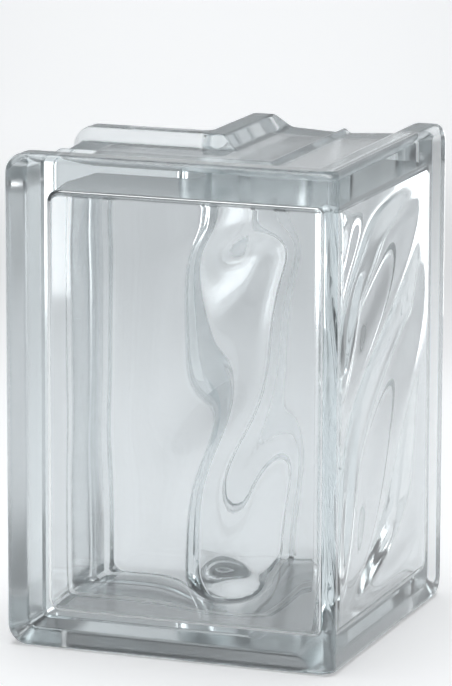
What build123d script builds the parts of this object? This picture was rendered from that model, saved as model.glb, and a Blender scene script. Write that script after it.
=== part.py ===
from build123d import *
import os
from math import ceil, pi, sin

# A hollow corner glass block, L-shaped in plan, standing on its lower edges.
# The origin is the middle of the footprint at floor level. The two wide outer faces look to -Y and +X.

# Overall sizes
FACE_WIDTH = 132.0
HEIGHT = 190.0
THICKNESS = 80.0

# Outline of the faces
END_CORNER_RADIUS = 8.0
OUTER_CORNER_RADIUS = 4.0
INNER_CORNER_RADIUS = 3.0
FACE_EDGE_RADIUS = 3.0

# Mortar channel round the edges, from the face inwards to the seam
RIM_WIDTH = 10.5
SHOULDER_RUN = 7.5
SHOULDER_DEPTH = 4.6
SEAM_DEPTH = 5.6
RIM_RADIUS = 4.0
SHOULDER_RADIUS = 7.0

# Fused seam
BEAD_HEIGHT = 1.8
BEAD_WIDTH = 5.4
BEAD_RADIUS = 0.9

# Sealed hollow
PANEL = 6.5
EDGE_WALL = 8.0
END_WALL = 7.0
END_DRAFT = 3.2
HOLLOW_CORNER_RADIUS = 5.0
HOLLOW_EDGE_RADIUS = 2.5
BEND_EXTRA = 0.6

# Waves pressed into the inside of the two wide faces, on a slightly raised field
FIELD_MARGIN = 1.0
FIELD_RISE = 0.15
WAVE_HEIGHT = 3.6
WAVE_END_FADE = 14.0
WAVE_CORNER_FADE = 26.0
WAVE_EDGE_FADE = 18.0
WAVE_STEP = 4.0
WAVE_TOLERANCE = 0.05

# Front face: calm towards the end, growing towards the corner
FRONT_WAVE_LENGTH = 66.0
FRONT_PHASE = 2.6
FRONT_SLANT_SHARE = -0.667
FRONT_SWAY = 6.3
FRONT_SWAY_LENGTH = 82.0
FRONT_SWAY_PHASE = -2.16
FRONT_START_SHARE = 0.08

# Side face: nearly full height from the end on
SIDE_WAVE_LENGTH = 80.0
SIDE_PHASE = 2.6
SIDE_SLANT_SHARE = 1.2
SIDE_SWAY = 8.0
SIDE_SWAY_LENGTH = 110.0
SIDE_START_SHARE = 0.9

# Part of the run at which the waves begin and end their growth
CALM_SHARE = 0.275
FULL_SHARE = 0.73

# Overrun of a cut past the surface it starts from
OVERRUN = 2.0

HALF_FACE = FACE_WIDTH / 2
MID = THICKNESS / 2
EDGE_INSET = SEAM_DEPTH + EDGE_WALL
SEAM_INSET = SEAM_DEPTH + END_WALL
PANEL_INSET = SEAM_INSET + END_DRAFT
RUN_SPAN = FACE_WIDTH - PANEL_INSET - PANEL
RISE_SPAN = HEIGHT - 2 * EDGE_INSET
BEND_RADIUS = HOLLOW_EDGE_RADIUS + BEND_EXTRA
FIELD_START = HOLLOW_EDGE_RADIUS + FIELD_MARGIN
FIELD_RUN_END = RUN_SPAN - BEND_RADIUS - FIELD_MARGIN
FIELD_RISE_END = RISE_SPAN - FIELD_START
ROUND_SHARE = 1 - sin(pi / 4)
MIRROR = Plane(origin=(0, 0, 0), z_dir=(1, 1, 0))


def channel_section():
    """Section of the block's edge: through the thickness along Y, inwards from the rim along -Z."""
    shoulder = RIM_WIDTH + SHOULDER_RUN
    bead_foot = MID - BEAD_WIDTH / 2
    half = [
        (0, -END_CORNER_RADIUS),
        (0, 0),
        (RIM_WIDTH, 0),
        (shoulder, -SHOULDER_DEPTH),
        (bead_foot, -SEAM_DEPTH),
    ]
    crest = (MID, BEAD_HEIGHT - SEAM_DEPTH)
    other = [(THICKNESS - depth, drop) for depth, drop in reversed(half)]
    radii = [0, 0, RIM_RADIUS, SHOULDER_RADIUS, BEAD_RADIUS]
    edge = FilletPolyline(*half, crest, *other, radius=radii + [BEAD_RADIUS] + radii[::-1], close=True)
    return Plane.YZ * make_face(edge)


def outer_leg():
    """One leg of the block as a solid, cut off on the mirror plane."""
    left = -HALF_FACE
    front = -HALF_FACE
    axis_x = left + END_CORNER_RADIUS
    top_axis = HEIGHT - END_CORNER_RADIUS
    section = channel_section()
    at_top = Pos(axis_x, front, HEIGHT) * section
    at_end = Pos(left, front, top_axis) * Rot(0, -90, 0) * section
    run = FACE_WIDTH - END_CORNER_RADIUS
    top = extrude(at_top, run, dir=(1, 0, 0))
    end = extrude(at_end, HEIGHT - 2 * END_CORNER_RADIUS, dir=(0, 0, -1))
    corner = revolve(at_top, Axis((axis_x, front, top_axis), (0, 1, 0)), -90)
    core = Pos(axis_x, front, END_CORNER_RADIUS) * Box(
        run, THICKNESS, HEIGHT - 2 * END_CORNER_RADIUS, align=(Align.MIN, Align.MIN, Align.MIN)
    )
    level = Plane.XY.offset(HEIGHT / 2)
    leg = core + end + top + corner + mirror(top, about=level) + mirror(corner, about=level)
    return split(leg, bisect_by=MIRROR, keep=Keep.BOTTOM)


def border(faces):
    """Edges round a group of neighbouring faces: those that only one of the faces has."""
    edges = [edge for face in faces for edge in face.edges()]
    return [edge for edge in edges if sum(edge.is_same(other) for other in edges) == 1]


def upright_edge(solid, x, y):
    """The upright edge of a solid nearest to a point of the plan."""
    return solid.edges().filter_by(Axis.Z).sort_by_distance((x, y, HEIGHT / 2))[0]


def faces_at(solid, *points):
    """The face of a solid nearest to each point."""
    return [solid.faces().sort_by_distance(point)[0] for point in points]


def outer_block():
    """The block as it would be if it were solid, with its rims, channel and rounded edges."""
    leg = outer_leg()
    block = leg + mirror(leg, about=MIRROR)
    inner = HALF_FACE - THICKNESS
    block = fillet(upright_edge(block, HALF_FACE, -HALF_FACE), OUTER_CORNER_RADIUS)
    block = fillet(upright_edge(block, inner, -inner), INNER_CORNER_RADIUS)
    outer_corner = HALF_FACE - OUTER_CORNER_RADIUS * ROUND_SHARE
    inner_corner = inner - INNER_CORNER_RADIUS * ROUND_SHARE
    middle = HEIGHT / 2
    outside = faces_at(
        block, (0, -HALF_FACE, middle), (outer_corner, -outer_corner, middle), (HALF_FACE, 0, middle)
    )
    block = fillet(border(outside), FACE_EDGE_RADIUS)
    narrow = (inner - HALF_FACE) / 2
    inside = faces_at(
        block, (narrow, -inner, middle), (inner_corner, -inner_corner, middle), (inner, -narrow, middle)
    )
    return fillet(border(inside), FACE_EDGE_RADIUS)


def ease(share):
    """Smooth rise from 0 to 1, level at both ends."""
    share = max(0, min(1, share))
    return share * share * (3 - 2 * share)


def front_waves(run, rise):
    """Swaying run of the front panel's waves at a place on it, as an angle."""
    sway = FRONT_SWAY * sin(2 * pi * rise / FRONT_SWAY_LENGTH + FRONT_SWAY_PHASE)
    return 2 * pi * (run + sway + FRONT_SLANT_SHARE * rise) / FRONT_WAVE_LENGTH + FRONT_PHASE


def side_waves(run, rise):
    """Swaying run of the side panel's waves at a place on it, as an angle."""
    sway = SIDE_SWAY * sin(2 * pi * rise / SIDE_SWAY_LENGTH)
    return 2 * pi * (run + sway + SIDE_SLANT_SHARE * rise) / SIDE_WAVE_LENGTH + SIDE_PHASE


def wave_height(run, rise, waves, start_share):
    """Height of a waved field at a place on its panel. The waves fade out at the field's border."""
    grown = ease((run / RUN_SPAN - CALM_SHARE) / (FULL_SHARE - CALM_SHARE))
    swell = start_share + (1 - start_share) * grown
    height = WAVE_HEIGHT * swell * (1 + sin(waves(run, rise))) / 2
    height = height * ease((run - FIELD_START) / WAVE_END_FADE) * ease((FIELD_RUN_END - run) / WAVE_CORNER_FADE)
    height = height * ease((rise - FIELD_START) / WAVE_EDGE_FADE) * ease((FIELD_RISE_END - rise) / WAVE_EDGE_FADE)
    return FIELD_RISE + height


def wave_field(waves, start_share):
    """Waved field on the inside of the front panel, as a solid that reaches out past the panel's outer face."""
    left = PANEL_INSET - HALF_FACE
    level = PANEL - HALF_FACE
    runs = ceil((FIELD_RUN_END - FIELD_START) / WAVE_STEP)
    rises = ceil((FIELD_RISE_END - FIELD_START) / WAVE_STEP)
    rows = []
    for i in range(runs + 1):
        run = FIELD_START + (FIELD_RUN_END - FIELD_START) * i / runs
        row = []
        for j in range(rises + 1):
            rise = FIELD_START + (FIELD_RISE_END - FIELD_START) * j / rises
            row.append((left + run, level + wave_height(run, rise, waves, start_share), EDGE_INSET + rise))
        rows.append(row)
    surface = Face.make_surface_from_array_of_points(rows, tol=WAVE_TOLERANCE)
    return extrude(surface, PANEL + OVERRUN, dir=(0, -1, 0))


def half_hollow(start):
    """The hollow in one half shell, from a depth at its panels to the seam, with rounded edges."""
    corner = HALF_FACE - start
    seam = HALF_FACE - MID
    panel_end = HALF_FACE - PANEL_INSET
    seam_end = HALF_FACE - SEAM_INSET
    plan = Polyline(
        (-panel_end, -corner),
        (corner, -corner),
        (corner, panel_end),
        (seam, seam_end),
        (seam, -seam),
        (-seam_end, -seam),
        close=True,
    )
    hollow = Pos(0, 0, EDGE_INSET) * extrude(make_face(plan), RISE_SPAN)
    middle = HEIGHT / 2
    end = (panel_end + seam_end) / 2
    across = (corner + seam) / 2
    places = [(x, y, z) for x, y in ((-end, -across), (across, end)) for z in (EDGE_INSET, HEIGHT - EDGE_INSET)]
    hollow = fillet([hollow.edges().sort_by_distance(place)[0] for place in places], HOLLOW_CORNER_RADIUS)
    hollow = fillet(upright_edge(hollow, corner, -corner), BEND_RADIUS)
    bend = corner - BEND_RADIUS * ROUND_SHARE
    half_run = (corner - panel_end) / 2
    panels = faces_at(hollow, (half_run, -corner, middle), (bend, -bend, middle), (corner, -half_run, middle))
    return fillet(border(panels), HOLLOW_EDGE_RADIUS)


def block_hollow():
    """The sealed hollow, with waves on the inside of both wide faces and plain narrow panels."""
    outer = half_hollow(PANEL)
    side = mirror(wave_field(side_waves, SIDE_START_SHARE), about=MIRROR)
    outer = outer - wave_field(front_waves, FRONT_START_SHARE) - side
    return outer + half_hollow(THICKNESS - PANEL)


glass_block = outer_block() - block_hollow()

os.makedirs("parts", exist_ok=True)
export_step(glass_block, "parts/glass_block.step")
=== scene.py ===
import logging
import math
from dataclasses import dataclass
from enum import Enum

import bmesh
import bpy
from mathutils import Matrix, Vector


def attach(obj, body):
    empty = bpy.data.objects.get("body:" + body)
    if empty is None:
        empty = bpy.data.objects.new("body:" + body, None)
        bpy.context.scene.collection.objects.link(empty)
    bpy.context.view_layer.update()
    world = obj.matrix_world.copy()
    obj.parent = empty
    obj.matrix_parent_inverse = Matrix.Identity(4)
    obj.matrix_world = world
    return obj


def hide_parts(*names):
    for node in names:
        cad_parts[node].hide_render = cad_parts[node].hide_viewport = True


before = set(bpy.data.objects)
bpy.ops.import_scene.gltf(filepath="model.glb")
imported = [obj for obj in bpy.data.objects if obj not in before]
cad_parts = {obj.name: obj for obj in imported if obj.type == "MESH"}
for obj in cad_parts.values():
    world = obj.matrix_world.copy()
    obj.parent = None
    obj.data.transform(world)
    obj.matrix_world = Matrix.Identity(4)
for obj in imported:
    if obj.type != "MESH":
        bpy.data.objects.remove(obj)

LOG = logging.getLogger("corner_glass_block")

# Metres in a millimetre.
MM = 0.001
# Distance in millimetres within which two places are taken as one.
NEAR = 1e-3
# Vertex attribute that holds how dull the glass is.
FROST = "frost"

Triple = tuple[float, float, float]
Chain = list[bmesh.types.BMEdge]


@dataclass(frozen=True)
class BlockSizes:
    """Sizes of the block in millimetres, as in the part's source."""

    face_width: float = 132.0
    height: float = 190.0
    thickness: float = 80.0
    end_corner: float = 8.0
    outer_corner: float = 4.0
    inner_corner: float = 3.0
    face_edge: float = 3.0
    rim_width: float = 10.5
    shoulder_run: float = 7.5
    shoulder_depth: float = 4.6
    seam_depth: float = 5.6
    rim_radius: float = 4.0
    shoulder_radius: float = 7.0
    bead_height: float = 1.8
    bead_width: float = 5.4
    bead_radius: float = 0.9
    panel: float = 6.5
    edge_wall: float = 8.0
    end_wall: float = 7.0
    end_draft: float = 3.2
    hollow_corner: float = 5.0
    hollow_edge: float = 2.5
    bend_extra: float = 0.6
    field_margin: float = 1.0
    field_rise: float = 0.15

    @property
    def half(self) -> float:
        """Half of the face width."""
        return self.face_width / 2

    @property
    def edge_inset(self) -> float:
        """Depth of the hollow's roof and floor under the rims."""
        return self.seam_depth + self.edge_wall

    @property
    def seam_inset(self) -> float:
        """Distance from an end of the block to the hollow at the seam."""
        return self.seam_depth + self.end_wall

    @property
    def panel_inset(self) -> float:
        """Distance from an end of the block to the hollow at the panels."""
        return self.seam_inset + self.end_draft

    @property
    def hollow_bend(self) -> float:
        """Radius of the hollow's upright corners."""
        return self.hollow_edge + self.bend_extra

    @property
    def run_span(self) -> float:
        """Width of a wide panel of the hollow."""
        return self.face_width - self.panel_inset - self.panel

    @property
    def rise_span(self) -> float:
        """Height of the hollow."""
        return self.height - 2 * self.edge_inset


class Rounding(Enum):
    """What a rounding works on."""

    CORNERS = "VERTICES"
    EDGES = "EDGES"


def round_off(
    bm: bmesh.types.BMesh, geom: list, offset: float, segments: int, rounding: Rounding = Rounding.EDGES
) -> None:
    """Round corners or edges of a mesh.

    Args:
        bm: The mesh.
        geom: The corners or edges to round.
        offset: Distance from them at which the rounding starts.
        segments: Number of faces or edges round it.
        rounding: Whether corners or edges are rounded.
    """
    bmesh.ops.bevel(
        bm, geom=geom, offset=offset, offset_type="OFFSET", affect=rounding.value,
        segments=segments, profile=0.5, material=-1,
    )


def everything(bm: bmesh.types.BMesh) -> list:
    """List all points, edges and faces of a mesh."""
    return list(bm.verts) + list(bm.edges) + list(bm.faces)


def only(kind: type, geom: list) -> list:
    """Pick the points, or the edges, out of what a mesh operator gives back."""
    return [item for item in geom if isinstance(item, kind)]


def on_mitre(edge: bmesh.types.BMEdge) -> bool:
    """Tell whether an edge lies in the mitre plane between the two legs."""
    return all(abs(vert.co.x + vert.co.y) < NEAR for vert in edge.verts)


def ease(share: float) -> float:
    """Rise smoothly from nothing to one.

    Args:
        share: How far along the rise, below 0 before it and above 1 after it.

    Returns:
        The height of the rise, from 0 to 1.
    """
    share = max(0.0, min(1.0, share))
    return share * share * (3 - 2 * share)


@dataclass(frozen=True)
class Waves:
    """Waves pressed into the inside of a wide face, in millimetres and radians."""

    length: float
    phase: float
    slant: float
    start_share: float
    sway: float
    sway_length: float
    sway_phase: float
    height: float = 3.6
    calm_share: float = 0.275
    full_share: float = 0.73
    end_fade: float = 14.0
    corner_fade: float = 26.0
    edge_fade: float = 18.0

    def height_at(self, run: float, rise: float, sizes: BlockSizes) -> float:
        """Height of the waved field at a place on the panel.

        Args:
            run: Distance along the panel from the block's end.
            rise: Distance up the panel.
            sizes: Sizes of the block.

        Returns:
            How far the glass stands out of the panel. The waves fade to the raised field at its border.
        """
        start = sizes.hollow_edge + sizes.field_margin
        from_end = run - start
        from_corner = sizes.run_span - sizes.hollow_bend - sizes.field_margin - run
        from_floor = rise - start
        from_roof = sizes.rise_span - start - rise
        grown = ease((run / sizes.run_span - self.calm_share) / (self.full_share - self.calm_share))
        swell = self.start_share + (1 - self.start_share) * grown
        turn = 2 * math.pi
        sway = self.sway * math.sin(turn * rise / self.sway_length + self.sway_phase) + self.slant * rise
        crest = (1 + math.sin(turn * (run + sway) / self.length + self.phase)) / 2
        height = self.height * swell * crest
        height *= ease(from_end / self.end_fade) * ease(from_corner / self.corner_fade)
        height *= ease(from_floor / self.edge_fade) * ease(from_roof / self.edge_fade)
        inside = min(from_end, from_corner, from_floor, from_roof)
        return height + sizes.field_rise * ease((inside + sizes.field_margin) / (2 * sizes.field_margin))


@dataclass(frozen=True)
class Dullness:
    """How dull the pressed surfaces are, as shares of the dullest one. Faces and panels are clear.

    The channel clears over a height in millimetres from its foot to its share along the top.
    """

    channel: float = 1.0
    channel_top: float = 0.1
    clearing: float = 30.0
    roof: float = 1.0
    floor_and_ends: float = 0.5


@dataclass
class OuterSkin:
    """Outside of the block: faces, rims, mortar channel and fused seam."""

    sizes: BlockSizes
    dullness: Dullness
    mitre_radius: float = 0.8
    mitre_angle_deg: float = 8.0
    turn_steps: int = 10
    section_segments: int = 6
    outer_segments: int = 6
    inner_segments: int = 5
    mitre_segments: int = 2

    def build(self) -> bmesh.types.BMesh:
        """Sweep the edge section round one leg, mirror it and close the faces.

        Returns:
            The closed skin, in millimetres.
        """
        bm = bmesh.new()
        chain = self._section(bm)
        self._sweep(bm, chain)
        self._mirror(bm)
        self._close_faces(bm)
        self._round_corners(bm)
        bmesh.ops.recalc_face_normals(bm, faces=bm.faces)
        self._frost(bm)
        return bm

    def _section(self, bm: bmesh.types.BMesh) -> Chain:
        """Draw the rounded section of the top edge at the mitre end of the front leg.

        Args:
            bm: The mesh to draw in.

        Returns:
            The edges of the section that are swept.
        """
        s = self.sizes
        middle = s.thickness / 2
        shoulder = s.rim_width + s.shoulder_run
        bead_foot = middle - s.bead_width / 2
        turn = math.atan2(s.shoulder_depth, s.shoulder_run)
        floor = math.atan2(s.seam_depth - s.shoulder_depth, bead_foot - s.rim_width - s.shoulder_run)
        flank = math.atan2(s.bead_height, s.bead_width / 2)
        # Depth through the thickness, drop from the rim and tangent length of the rounding.
        half = [
            (0.0, s.end_corner, 0.0),
            (0.0, 0.0, s.face_edge),
            (s.rim_width, 0.0, s.rim_radius * math.tan(turn / 2)),
            (shoulder, s.shoulder_depth, s.shoulder_radius * math.tan((turn - floor) / 2)),
            (bead_foot, s.seam_depth, s.bead_radius * math.tan((flank + floor) / 2)),
        ]
        crest = (middle, s.seam_depth - s.bead_height, s.bead_radius * math.tan(flank))
        other = [(s.thickness - depth, drop, tangent) for depth, drop, tangent in reversed(half)]
        points = half + [crest] + other
        verts = [bm.verts.new((s.half, depth - s.half, s.height - drop)) for depth, drop, _ in points]
        bm.faces.new(verts)
        for vert, (_, _, tangent) in zip(verts, points):
            if tangent > 0:
                round_off(bm, [vert], tangent, self.section_segments, Rounding.CORNERS)
        bmesh.ops.delete(bm, geom=list(bm.faces), context="FACES_ONLY")
        base = s.height - s.end_corner
        bottom = [e for e in bm.edges if all(abs(v.co.z - base) < NEAR for v in e.verts)]
        bmesh.ops.delete(bm, geom=bottom, context="EDGES")
        return list(bm.edges)

    def _sweep(self, bm: bmesh.types.BMesh, chain: Chain) -> None:
        """Carry the section along the top, round the end and back along the bottom of the front leg.

        Args:
            bm: The mesh that holds the section.
            chain: The section's edges.
        """
        s = self.sizes
        run = s.face_width - s.end_corner
        drop = s.height - 2 * s.end_corner
        axis_x = s.end_corner - s.half
        chain = self._extrude(bm, chain, (-run, 0, 0))
        chain = self._turn(bm, chain, (axis_x, 0, s.height - s.end_corner))
        chain = self._extrude(bm, chain, (0, 0, -drop))
        chain = self._turn(bm, chain, (axis_x, 0, s.end_corner))
        self._extrude(bm, chain, (run, 0, 0))
        bmesh.ops.remove_doubles(bm, verts=bm.verts, dist=NEAR)

    @staticmethod
    def _extrude(bm: bmesh.types.BMesh, chain: Chain, step: Triple) -> Chain:
        """Extrude a chain of edges along a straight step.

        Args:
            bm: The mesh to extrude in.
            chain: The edges to extrude.
            step: Where the extruded edges go.

        Returns:
            The chain at the far end.
        """
        out = bmesh.ops.extrude_edge_only(bm, edges=chain)["geom"]
        bmesh.ops.translate(bm, verts=only(bmesh.types.BMVert, out), vec=step)
        return only(bmesh.types.BMEdge, out)

    def _turn(self, bm: bmesh.types.BMesh, chain: Chain, centre: Triple) -> Chain:
        """Spin a chain of edges a quarter turn about an axis along Y.

        Args:
            bm: The mesh to spin in.
            chain: The edges to spin.
            centre: A point of the axis.

        Returns:
            The chain at the far end.
        """
        verts = list(dict.fromkeys(v for e in chain for v in e.verts))
        out = bmesh.ops.spin(
            bm, geom=verts + chain, cent=centre, axis=(0, 1, 0), angle=-math.pi / 2,
            steps=self.turn_steps, use_duplicate=False,
        )["geom_last"]
        return only(bmesh.types.BMEdge, out)

    @staticmethod
    def _mirror(bm: bmesh.types.BMesh) -> None:
        """Cut the front leg off on the mitre and mirror it to the side leg.

        Args:
            bm: The mesh with the front leg.
        """
        bmesh.ops.bisect_plane(
            bm, geom=everything(bm), dist=NEAR, plane_co=(0, 0, 0), plane_no=(1, 1, 0), clear_outer=True,
        )
        across = Matrix.Rotation(math.pi / 4, 4, "Z")
        bmesh.ops.mirror(bm, geom=everything(bm), matrix=across.inverted(), merge_dist=NEAR, axis="X")
        bmesh.ops.remove_doubles(bm, verts=bm.verts, dist=NEAR)

    @staticmethod
    def _close_faces(bm: bmesh.types.BMesh) -> None:
        """Draw the upright corner edges and fill the openings that are left in the four flat faces.

        Args:
            bm: The swept mesh.
        """
        rim = [e for e in bm.edges if e.is_boundary]
        corners = {v for e in rim for v in e.verts if abs(v.co.x + v.co.y) < NEAR}
        corners = sorted(corners, key=lambda v: (round(v.co.x), v.co.z))
        uprights = [bm.edges.new(corners[0:2]), bm.edges.new(corners[2:4])]
        bmesh.ops.edgenet_fill(bm, edges=rim + uprights)
        bmesh.ops.recalc_face_normals(bm, faces=bm.faces)

    def _round_corners(self, bm: bmesh.types.BMesh) -> None:
        """Round the two upright corners and soften the mitre lines of the channel.

        Args:
            bm: The closed skin.
        """
        s = self.sizes
        inner = s.half - s.thickness
        bent = math.radians(self.mitre_angle_deg)
        mitre = [e for e in bm.edges if on_mitre(e)]
        outside = [e for e in mitre if all(v.co.x > s.half - s.face_edge - NEAR for v in e.verts)]
        inside = [e for e in mitre if all(v.co.x < inner + s.face_edge + NEAR for v in e.verts)]
        between = [e for e in mitre if e not in outside and e not in inside]
        soft = [e for e in between if e.calc_face_angle(0.0) > bent]
        rounds = (
            (outside, s.outer_corner, self.outer_segments),
            (inside, s.inner_corner, self.inner_segments),
            (soft, self.mitre_radius, self.mitre_segments),
        )
        for edges, radius, segments in rounds:
            round_off(bm, [e for e in edges if e.is_valid], radius, segments)
        for vert in bm.verts:
            vert.co.x = min(vert.co.x, s.half)
            vert.co.y = max(vert.co.y, -s.half)

    def _frost(self, bm: bmesh.types.BMesh) -> None:
        """Mark the channel, which is duller than the faces, least of all along the top.

        Args:
            bm: The finished skin.
        """
        s = self.sizes
        dull = self.dullness
        layer = bm.verts.layers.float.new(FROST)
        for vert in bm.verts:
            depth = s.half + min(vert.co.y, -vert.co.x)
            inwards = min(depth, s.thickness - depth)
            at_end = max(-vert.co.x, vert.co.y) > s.half - 2 * s.end_corner
            clear = 0.0 if at_end else ease((vert.co.z - s.end_corner) / dull.clearing)
            share = dull.channel + (dull.channel_top - dull.channel) * clear
            vert[layer] = share * ease((inwards - s.face_edge) / s.face_edge)


@dataclass
class Hollow:
    """Sealed hollow inside the block, with waves on the inside of the wide faces.

    The upright limit is the most that an upright face's normal may rise. The square limit is the least
    difference between the level parts of the normal of a face that looks straight along X or Y.
    """

    sizes: BlockSizes
    dullness: Dullness
    front: Waves
    side: Waves
    pitch: float = 2.0
    cut_near: float = 1e-5
    wall_margin: float = 0.5
    corner_segments: int = 6
    border_segments: int = 5
    upright_limit: float = 0.1
    square_limit: float = 0.999

    @property
    def outer(self) -> float:
        """Place of the wide panels, out from the middle of the footprint."""
        return self.sizes.half - self.sizes.panel

    @property
    def inner(self) -> float:
        """Place of the narrow panels, measured as that of the wide ones."""
        return self.sizes.half - self.sizes.thickness + self.sizes.panel

    @property
    def panel_end(self) -> float:
        """Distance of the panels' ends from the middle of the footprint."""
        return self.sizes.half - self.sizes.panel_inset

    def build(self) -> bmesh.types.BMesh:
        """Extrude the plan, round its edges and press the waves into the panels.

        Returns:
            The closed skin of the hollow, in millimetres, with its normals into the hollow.
        """
        bm = bmesh.new()
        self._extrude_plan(bm)
        self._round_edges(bm)
        self._divide(bm)
        self._press_waves(bm)
        self._frost(bm)
        bmesh.ops.recalc_face_normals(bm, faces=bm.faces)
        bmesh.ops.reverse_faces(bm, faces=bm.faces)
        return bm

    def _extrude_plan(self, bm: bmesh.types.BMesh) -> None:
        """Draw the plan of the hollow and extrude it from its floor to its roof.

        Args:
            bm: The mesh to draw in.
        """
        s = self.sizes
        outer, inner, end = self.outer, self.inner, self.panel_end
        seam = s.half - s.thickness / 2
        seam_end = s.half - s.seam_inset
        plan = [
            (-end, -outer), (outer, -outer), (outer, end), (seam, seam_end),
            (inner, end), (inner, -inner), (-end, -inner), (-seam_end, -seam),
        ]
        face = bm.faces.new([bm.verts.new((x, y, s.edge_inset)) for x, y in plan])
        top = bmesh.ops.extrude_face_region(bm, geom=[face])["geom"]
        bmesh.ops.translate(bm, verts=only(bmesh.types.BMVert, top), vec=(0, 0, s.rise_span))
        bmesh.ops.recalc_face_normals(bm, faces=bm.faces)

    def _round_edges(self, bm: bmesh.types.BMesh) -> None:
        """Round the corners of the hollow, then the borders of its panels.

        Args:
            bm: The mesh with the sharp hollow.
        """
        s = self.sizes
        round_off(bm, [e for e in bm.edges if self._at_end(e)], s.hollow_corner, self.corner_segments)
        round_off(bm, [e for e in bm.edges if on_mitre(e)], s.hollow_bend, self.corner_segments)
        bm.normal_update()
        border = [e for e in bm.edges if sum(self._is_panel(f) for f in e.link_faces) == 1]
        round_off(bm, border, s.hollow_edge, self.border_segments)

    def _at_end(self, edge: bmesh.types.BMEdge) -> bool:
        """Tell whether an edge runs along the top or the foot of an end wall.

        Args:
            edge: An edge of the sharp hollow.

        Returns:
            True for an edge of an end wall.
        """
        first, last = (vert.co for vert in edge.verts)
        middle = (first + last) / 2
        level = abs(first.z - last.z) < NEAR
        return level and (middle.x < -self.panel_end - NEAR or middle.y > self.panel_end + NEAR)

    def _is_panel(self, face: bmesh.types.BMFace) -> bool:
        """Tell whether a face belongs to a panel or to the bend between two panels.

        Args:
            face: A face of the hollow with rounded corners.

        Returns:
            True for a face of a panel or a bend.
        """
        if abs(face.normal.z) > self.upright_limit:
            return False
        reach = self.sizes.hollow_corner
        x, y, _ = face.calc_center_median()
        on_front = abs(y + self.outer) < NEAR or abs(y + self.inner) < NEAR
        on_side = abs(x - self.outer) < NEAR or abs(x - self.inner) < NEAR
        turned = abs(abs(face.normal.x) - abs(face.normal.y)) < self.square_limit
        by_mitre = x > self.inner - reach and abs(x + y) < reach
        return on_front or on_side or (turned and by_mitre)

    def _divide(self, bm: bmesh.types.BMesh) -> None:
        """Cut the skin into a fine grid, so that the waves can follow their curve.

        Args:
            bm: The rounded hollow.
        """
        s = self.sizes
        spans = (
            ((1, 0, 0), -s.half, s.half),
            ((0, 1, 0), -s.half, s.half),
            ((0, 0, 1), 0.0, s.height),
        )
        for normal, low, high in spans:
            count = math.ceil((high - low) / self.pitch)
            for i in range(1, count):
                place = Vector(normal) * (low + (high - low) * i / count)
                bmesh.ops.bisect_plane(
                    bm, geom=everything(bm), dist=self.cut_near, plane_co=place, plane_no=normal,
                )

    def _press_waves(self, bm: bmesh.types.BMesh) -> None:
        """Move the points of the wide panels inwards by the height of the waves.

        Args:
            bm: The divided hollow.
        """
        s = self.sizes
        for vert in bm.verts:
            x, y, z = vert.co
            rise = z - s.edge_inset
            if abs(y + self.outer) < NEAR:
                vert.co.y += self.front.height_at(x + self.panel_end, rise, s)
            elif abs(x - self.outer) < NEAR:
                vert.co.x -= self.side.height_at(self.panel_end - y, rise, s)

    def _frost(self, bm: bmesh.types.BMesh) -> None:
        """Mark the roof, the floor and the end walls, which are duller than the panels.

        Args:
            bm: The waved hollow.
        """
        s = self.sizes
        ends = self.panel_end + self.wall_margin
        roof = s.height - s.edge_inset - self.wall_margin
        floor = s.edge_inset + self.wall_margin
        layer = bm.verts.layers.float.new(FROST)
        for vert in bm.verts:
            x, y, z = vert.co
            if z > roof:
                vert[layer] = self.dullness.roof
            elif z < floor or x < -ends or y > ends:
                vert[layer] = self.dullness.floor_and_ends


@dataclass
class GlassBlock:
    """The whole block as one piece of glass."""

    outside: OuterSkin
    hollow: Hollow

    def build(self, material: bpy.types.Material) -> bpy.types.Object:
        """Make the block, give it its material and place it in the frame.

        Args:
            material: The glass.

        Returns:
            The finished object, at the origin.
        """
        mesh = self._join()
        block = bpy.data.objects.new("pressed_glass", mesh)
        bpy.context.scene.collection.objects.link(block)
        mesh.materials.append(material)
        weighted = block.modifiers.new("face_normals", "WEIGHTED_NORMAL")
        weighted.mode = "FACE_AREA"
        weighted.keep_sharp = False
        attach(block, "root")
        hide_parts("glass_block")
        return block

    def _join(self) -> bpy.types.Mesh:
        """Join both skins in one smooth mesh.

        Returns:
            The mesh, in metres.
        """
        bm = bmesh.new()
        bm.verts.layers.float.new(FROST)
        for skin in (self.outside, self.hollow):
            part = skin.build()
            mesh = bpy.data.meshes.new("skin")
            part.to_mesh(mesh)
            part.free()
            bm.from_mesh(mesh)
            bpy.data.meshes.remove(mesh)
        bmesh.ops.scale(bm, vec=(MM, MM, MM), verts=bm.verts)
        for face in bm.faces:
            face.smooth = True
        mesh = bpy.data.meshes.new("pressed_glass")
        bm.to_mesh(mesh)
        bm.free()
        return mesh


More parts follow.
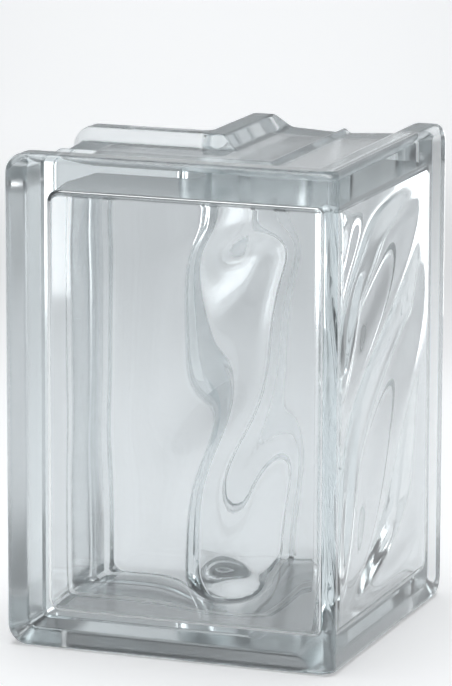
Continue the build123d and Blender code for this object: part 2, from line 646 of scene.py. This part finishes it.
@dataclass(frozen=True)
class GlassFinish:
    """Clear pressed glass, with a light tint and a little absorption."""

    tint: Triple = (0.85, 0.868, 0.876)
    ior: float = 1.52
    dullest_roughness: float = 0.2
    absorbed: Triple = (0.70, 0.78, 0.80)
    absorption: float = 7.0

    def material(self, name: str) -> bpy.types.Material:
        """Make the glass.

        Args:
            name: Name of the material.

        Returns:
            The material.
        """
        mat = bpy.data.materials.new(name)
        mat.use_nodes = True
        nodes = mat.node_tree.nodes
        links = mat.node_tree.links
        shader = nodes["Principled BSDF"]
        shader.inputs["Base Color"].default_value = (*self.tint, 1.0)
        shader.inputs["IOR"].default_value = self.ior
        shader.inputs["Transmission Weight"].default_value = 1.0
        frost = nodes.new("ShaderNodeAttribute")
        frost.attribute_name = FROST
        scale = nodes.new("ShaderNodeMath")
        scale.operation = "MULTIPLY"
        scale.inputs[1].default_value = self.dullest_roughness
        links.new(frost.outputs["Fac"], scale.inputs[0])
        links.new(scale.outputs["Value"], shader.inputs["Roughness"])
        volume = nodes.new("ShaderNodeVolumeAbsorption")
        volume.inputs["Color"].default_value = (*self.absorbed, 1.0)
        volume.inputs["Density"].default_value = self.absorption
        links.new(volume.outputs["Volume"], nodes["Material Output"].inputs["Volume"])
        return mat


@dataclass(frozen=True)
class Lamp:
    """A soft lamp, in metres and watts."""

    name: str
    place: Triple
    aim: Triple
    width: float
    depth: float
    power: float
    spread_deg: float
    turn_deg: float = 0.0

    def build(self) -> bpy.types.Object:
        """Make the lamp, which the camera doesn't see.

        Returns:
            The lamp object.
        """
        data = bpy.data.lights.new(self.name, "AREA")
        data.shape = "RECTANGLE"
        data.size = self.width
        data.size_y = self.depth
        data.energy = self.power
        data.spread = math.radians(self.spread_deg)
        lamp = bpy.data.objects.new(self.name, data)
        bpy.context.scene.collection.objects.link(lamp)
        lamp.location = self.place
        lamp.visible_camera = False
        aim = (Vector(self.aim) - Vector(self.place)).to_track_quat("-Z", "Y").to_matrix().to_4x4()
        lamp.rotation_euler = (aim @ Matrix.Rotation(math.radians(self.turn_deg), 4, "Z")).to_euler()
        return lamp


@dataclass(frozen=True)
class PhotoCamera:
    """Camera at the photo's angle, as fitted to the block's edges."""

    focal_px: float = 4523.2
    frame_px: float = 686.0
    sensor_mm: float = 36.0
    distance_mm: float = 1727.0
    across_mm: float = 83.98
    up_mm: float = 114.88
    yaw_deg: float = 20.511
    pitch_deg: float = 11.816
    roll_deg: float = 0.162

    def build(self, sizes: BlockSizes) -> bpy.types.Object:
        """Make the camera and give it to the scene.

        Args:
            sizes: Sizes of the block, whose front left foot is the fit's origin.

        Returns:
            The camera object.
        """
        yaw, pitch, roll = (math.radians(a) for a in (self.yaw_deg, self.pitch_deg, self.roll_deg))
        ahead = math.cos(pitch)
        forward = Vector((-math.sin(yaw) * ahead, math.cos(yaw) * ahead, -math.sin(pitch)))
        level = Vector((math.cos(yaw), math.sin(yaw), 0.0))
        upward = level.cross(forward)
        right = math.cos(roll) * level + math.sin(roll) * upward
        up = -math.sin(roll) * level + math.cos(roll) * upward
        place = right * self.across_mm + up * self.up_mm - forward * self.distance_mm
        place = (place - Vector((sizes.half, sizes.half, 0.0))) * MM
        data = bpy.data.cameras.new("photo_camera")
        data.sensor_width = self.sensor_mm
        data.lens = self.focal_px * self.sensor_mm / self.frame_px
        camera = bpy.data.objects.new("photo_camera", data)
        bpy.context.scene.collection.objects.link(camera)
        camera.matrix_world = Matrix((
            (right.x, up.x, -forward.x, place.x),
            (right.y, up.y, -forward.y, place.y),
            (right.z, up.z, -forward.z, place.z),
            (0.0, 0.0, 0.0, 1.0),
        ))
        bpy.context.scene.camera = camera
        return camera


@dataclass(frozen=True)
class Studio:
    """Pale floor, soft lamps, a pale wall at the back and the camera.

    The wall's heights and sides are the parts of a direction between which the wall fades in.
    """

    floor_size: float = 15.0
    floor_colour: Triple = (0.9, 0.91, 0.92)
    floor_roughness: float = 0.9
    floor_gloss: float = 0.1
    floor_white: float = 0.4
    ceiling_colour: Triple = (0.05, 0.055, 0.06)
    wall_colour: Triple = (0.52, 0.53, 0.54)
    wall_direction: Triple = (0.15, 0.99, 0.0)
    wall_heights: tuple[float, float] = (0.60, 0.25)
    wall_sides: tuple[float, float] = (0.3, 0.8)
    bounces: int = 32
    glossy_bounces: int = 16
    lamps: tuple[Lamp, ...] = (
        Lamp(
            name="key_softbox", place=(-0.22, -0.05, 1.1), aim=(-0.22, -0.05, 0.0),
            width=1.3, depth=1.4, power=3.65, spread_deg=60.0,
        ),
        Lamp(
            name="background_softbox", place=(-0.67, 1.79, 0.75), aim=(-0.67, 1.79, 0.0),
            width=0.8, depth=2.0, power=2.8, spread_deg=56.0, turn_deg=20.5,
        ),
        Lamp(
            name="side_softbox", place=(0.75, -0.15, 0.9), aim=(0.75, -0.15, 0.0),
            width=0.5, depth=0.6, power=1.0, spread_deg=60.0,
        ),
        Lamp(
            name="low_softbox", place=(0.05, 0.57, 0.08), aim=(0.05, 0.0, 0.08),
            width=0.17, depth=0.14, power=0.075, spread_deg=100.0,
        ),
    )

    def build(self, sizes: BlockSizes) -> list[bpy.types.Object]:
        """Set up the floor, the light and the camera.

        Args:
            sizes: Sizes of the block.

        Returns:
            The floor, the lamps and the camera.
        """
        floor = self._floor()
        self._surroundings()
        lamps = [lamp.build() for lamp in self.lamps]
        camera = PhotoCamera().build(sizes)
        scene = bpy.context.scene
        scene.view_settings.view_transform = "Standard"
        scene.cycles.max_bounces = self.bounces
        scene.cycles.transmission_bounces = self.bounces
        scene.cycles.glossy_bounces = self.glossy_bounces
        return [floor, *lamps, camera]

    def _surroundings(self) -> None:
        """Give the studio a pale wall at the back under a dark ceiling."""
        world = bpy.data.worlds.new("studio")
        bpy.context.scene.world = world
        world.use_nodes = True
        nodes = world.node_tree.nodes
        links = world.node_tree.links
        place = nodes.new("ShaderNodeTexCoord")
        split = nodes.new("ShaderNodeSeparateXYZ")
        height = self._fade(world.node_tree, self.wall_heights)
        toward = nodes.new("ShaderNodeVectorMath")
        toward.operation = "DOT_PRODUCT"
        toward.inputs[1].default_value = self.wall_direction
        side = self._fade(world.node_tree, self.wall_sides)
        both = nodes.new("ShaderNodeMath")
        both.operation = "MULTIPLY"
        mix = nodes.new("ShaderNodeMix")
        mix.data_type = "RGBA"
        ceiling, wall = (socket for socket in mix.inputs if socket.type == "RGBA")
        ceiling.default_value = (*self.ceiling_colour, 1.0)
        wall.default_value = (*self.wall_colour, 1.0)
        mixed = next(socket for socket in mix.outputs if socket.type == "RGBA")
        links.new(place.outputs["Generated"], split.inputs[0])
        links.new(split.outputs["Z"], height.inputs["Value"])
        links.new(place.outputs["Generated"], toward.inputs[0])
        links.new(toward.outputs["Value"], side.inputs["Value"])
        links.new(height.outputs["Result"], both.inputs[0])
        links.new(side.outputs["Result"], both.inputs[1])
        links.new(both.outputs["Value"], mix.inputs["Factor"])
        links.new(mixed, nodes["Background"].inputs["Color"])

    @staticmethod
    def _fade(tree: bpy.types.NodeTree, limits: tuple[float, float]) -> bpy.types.ShaderNode:
        """Add a node that rises smoothly from 0 to 1 between two values.

        Args:
            tree: The nodes to add it to.
            limits: The values at which the rise starts and ends.

        Returns:
            The node.
        """
        start, end = limits
        fade = tree.nodes.new("ShaderNodeMapRange")
        fade.interpolation_type = "SMOOTHSTEP"
        fade.inputs["From Min"].default_value = start
        fade.inputs["From Max"].default_value = end
        return fade

    def _floor(self) -> bpy.types.Object:
        """Lay the floor.

        Returns:
            The floor object.
        """
        mesh = bpy.data.meshes.new("floor")
        bm = bmesh.new()
        bmesh.ops.create_grid(bm, x_segments=1, y_segments=1, size=self.floor_size)
        bm.to_mesh(mesh)
        bm.free()
        mat = bpy.data.materials.new("floor")
        mat.use_nodes = True
        shader = mat.node_tree.nodes["Principled BSDF"]
        shader.inputs["Base Color"].default_value = (*self.floor_colour, 1.0)
        shader.inputs["Roughness"].default_value = self.floor_roughness
        shader.inputs["Specular IOR Level"].default_value = self.floor_gloss
        self._show_white(mat, shader)
        mesh.materials.append(mat)
        floor = bpy.data.objects.new("floor", mesh)
        bpy.context.scene.collection.objects.link(floor)
        return floor

    def _show_white(self, mat: bpy.types.Material, shader: bpy.types.ShaderNode) -> None:
        """Let the floor show a share of white to the camera, in reflections and through the glass.

        Args:
            mat: The floor's material.
            shader: Its surface shader.
        """
        nodes = mat.node_tree.nodes
        links = mat.node_tree.links
        path = nodes.new("ShaderNodeLightPath")
        seen = path.outputs["Is Camera Ray"]
        for name in ("Is Glossy Ray", "Is Transmission Ray"):
            either = nodes.new("ShaderNodeMath")
            either.operation = "MAXIMUM"
            links.new(seen, either.inputs[0])
            links.new(path.outputs[name], either.inputs[1])
            seen = either.outputs["Value"]
        strength = nodes.new("ShaderNodeMath")
        strength.operation = "MULTIPLY"
        strength.inputs[1].default_value = self.floor_white
        links.new(seen, strength.inputs[0])
        links.new(strength.outputs["Value"], shader.inputs["Emission Strength"])
        shader.inputs["Emission Color"].default_value = (*self.floor_colour, 1.0)


def main() -> None:
    """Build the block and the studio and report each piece."""
    logging.basicConfig(level=logging.INFO)
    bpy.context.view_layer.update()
    sizes = BlockSizes()
    dullness = Dullness()
    front = Waves(
        length=66.0, phase=2.6, slant=-0.667, start_share=0.08,
        sway=6.3, sway_length=82.0, sway_phase=-2.16,
    )
    side = Waves(
        length=80.0, phase=2.6, slant=1.2, start_share=0.9,
        sway=8.0, sway_length=110.0, sway_phase=0.0,
    )
    hollow = Hollow(sizes, dullness, front, side)
    glass = GlassFinish().material("clear_glass")
    block = GlassBlock(OuterSkin(sizes, dullness), hollow).build(glass)
    LOG.info("%s: %d faces", block.name, len(block.data.polygons))
    for piece in Studio().build(sizes):
        LOG.info("%s: in the studio", piece.name)


if __name__ == "__main__":
    main()
